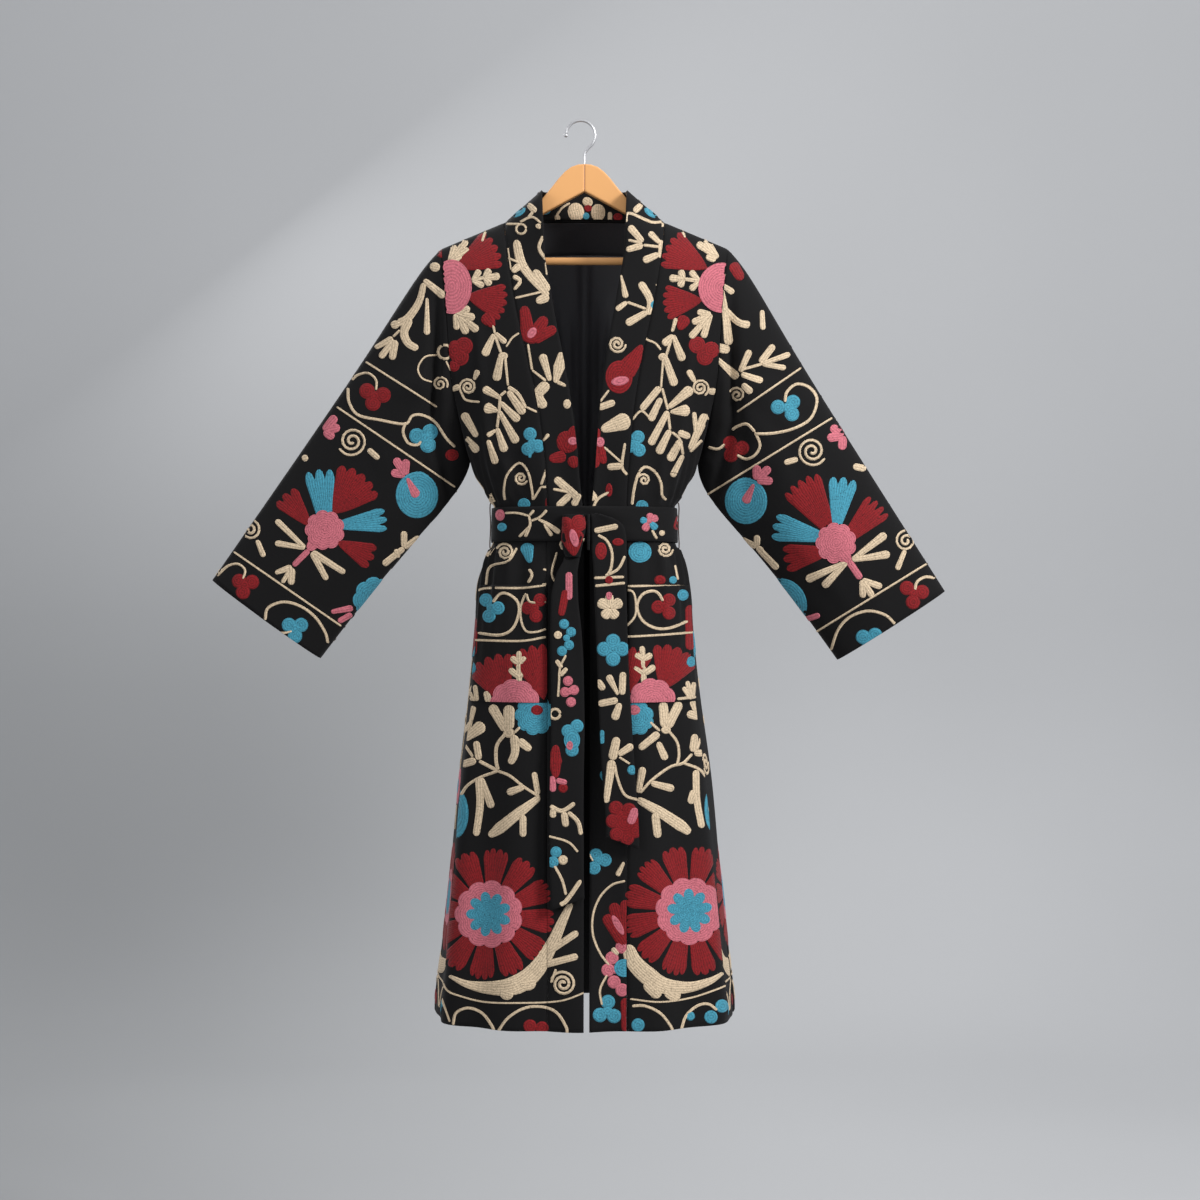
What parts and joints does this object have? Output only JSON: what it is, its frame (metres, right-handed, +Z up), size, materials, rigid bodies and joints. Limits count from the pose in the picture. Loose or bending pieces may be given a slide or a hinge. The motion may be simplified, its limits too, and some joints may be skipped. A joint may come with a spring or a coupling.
{
  "type": "long embroidered coat on a wooden hanger",
  "caption": "Long open coat in black cloth with traditional floral embroidery, wide sleeves, a front band, patch pockets and a tied belt, filled out on a wooden hanger.",
  "frame": {"origin": "inner top of the hanger's hook, where it rests on a rail", "axes": "+X to the viewer's right seen from the front, -Y out of the coat's front, +Z up"},
  "size_m": [1.061, 0.3071, 1.2937],
  "materials": {
    "cloth": "black wool with chain-stitch embroidery in cream, deep red, pink and turquoise",
    "facing": "plain black twill",
    "lining": "black satin",
    "cord": "twisted dark thread",
    "wood": "clear varnished pale wood",
    "steel": "polished wire"
  },
  "bodies": {
    "root": {"back": "cloth", "front_left": "cloth", "front_right": "cloth", "sleeve_left": "cloth", "sleeve_right": "cloth", "band_left": "cloth", "band_right": "cloth", "collar_back": "cloth", "pocket_left": "cloth", "pocket_right": "cloth", "belt_round": "cloth", "belt_knot": "cloth", "belt_tail_left": "cloth", "belt_tail_right": "cloth", "neck_facing": "facing", "lining_back": "lining", "carrier_left": "cord", "carrier_right": "cord", "hanger_arm_left": "wood", "hanger_arm_right": "wood", "hanger_bar": "wood", "hanger_hook": "steel", "hook_tip": "steel", "belt_knot_side": "cloth"}
  },
  "joints": []
}
